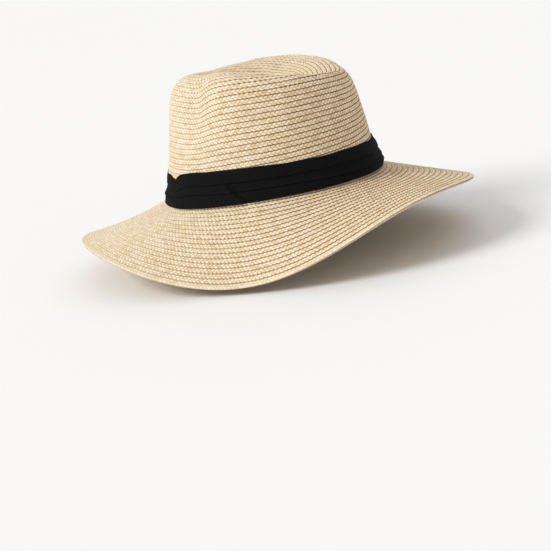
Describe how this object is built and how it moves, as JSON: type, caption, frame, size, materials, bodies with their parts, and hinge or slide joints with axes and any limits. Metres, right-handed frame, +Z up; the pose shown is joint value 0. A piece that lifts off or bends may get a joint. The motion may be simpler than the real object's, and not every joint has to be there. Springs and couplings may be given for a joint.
{
  "type": "sun hat",
  "caption": "Wide-brimmed sun hat of sewn straw braid with a pinched teardrop crown, a pleated fabric band and an inner size tape.",
  "frame": {"origin": "middle of the hat's own bounding box in plan, at the level of the brim's lowest edge", "axes": "+Z up, -Y towards the front of the crown (the pinched nose), +X towards the wearer's left"},
  "size_m": [0.321, 0.3737, 0.1808],
  "materials": {
    "straw": "woven paper straw braid, matte",
    "straw_edge": "woven paper straw braid, matte",
    "spring_wire": "bare spring wire",
    "joiner_metal": "crimped sleeve",
    "band_crepe": "matte black crepe, pleated",
    "black_thread": "sewing thread",
    "tan_thread": "sewing thread",
    "sweat_ribbon": "ribbed cotton ribbon",
    "tape_web": "narrow woven tape",
    "loop_pile": "fuzzy loop pile",
    "hook_plastic": "moulded hooks",
    "label_satin": "satin label, blank"
  },
  "bodies": {
    "hat": {"crown_braid": "straw", "brim_braid": "straw", "brim_edge_facing": "straw_edge", "brim_edge_wire": "spring_wire", "wire_joiner": "joiner_metal", "hat_band": "band_crepe", "band_wrap": "band_crepe", "band_tack_stitches": "black_thread", "headline_stitching": "tan_thread", "sweatband": "sweat_ribbon", "sweatband_stitching": "tan_thread", "size_tape": "tape_web", "loop_strip": "loop_pile", "care_label": "label_satin"},
    "size_tab": {"size_tab": "tape_web", "hook_pad": "hook_plastic"}
  },
  "joints": [
    {"name": "size_adjuster", "type": "hinge", "parent": "hat", "child": "size_tab", "pos_m": [-0.0034, 0.02952, 0.06304], "axis": [0, 0, 1], "range_deg": [0, 18]}
  ]
}
